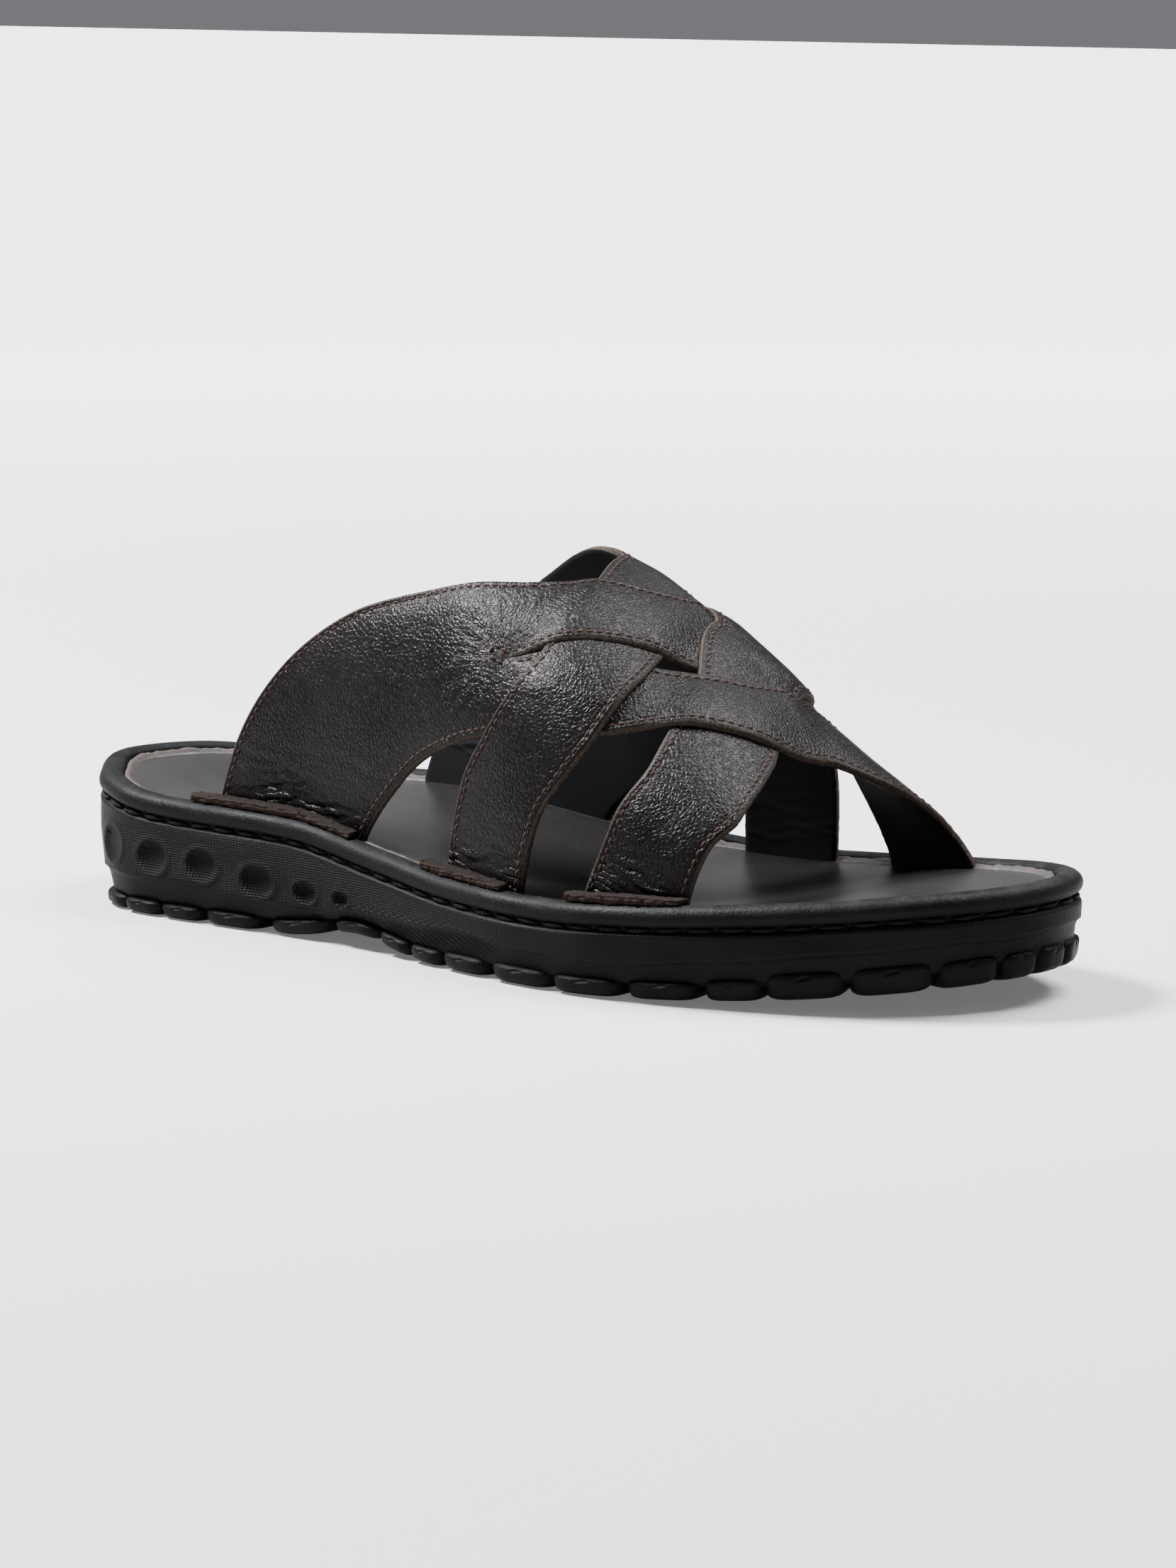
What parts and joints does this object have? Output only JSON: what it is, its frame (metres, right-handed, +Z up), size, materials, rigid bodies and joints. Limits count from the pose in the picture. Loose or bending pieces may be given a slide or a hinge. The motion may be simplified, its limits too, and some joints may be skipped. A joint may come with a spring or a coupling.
{
  "type": "slide sandal",
  "caption": "Backless leather slide sandal with a woven strap upper, a let-in footbed and a thick lugged rubber sole.",
  "frame": {"origin": "on the floor, under the middle of the sole's length and width", "axes": "+X from heel to toe, +Y to the inner side of the foot, +Z up; the row is the right shoe"},
  "size_m": [0.29, 0.1034, 0.0986],
  "materials": {
    "sole_rubber": "matt moulded rubber, near black",
    "footbed_leather": "smooth dark brown-grey leather",
    "strap_leather": "fine grained dark brown leather with a slight gloss",
    "raw_leather": "raw reddish brown cut leather"
  },
  "bodies": {
    "root": {"sole": "sole_rubber", "insole": "footbed_leather", "upper": "strap_leather", "tab_rear": "raw_leather", "tab_middle": "raw_leather", "tab_front": "raw_leather"}
  },
  "joints": []
}
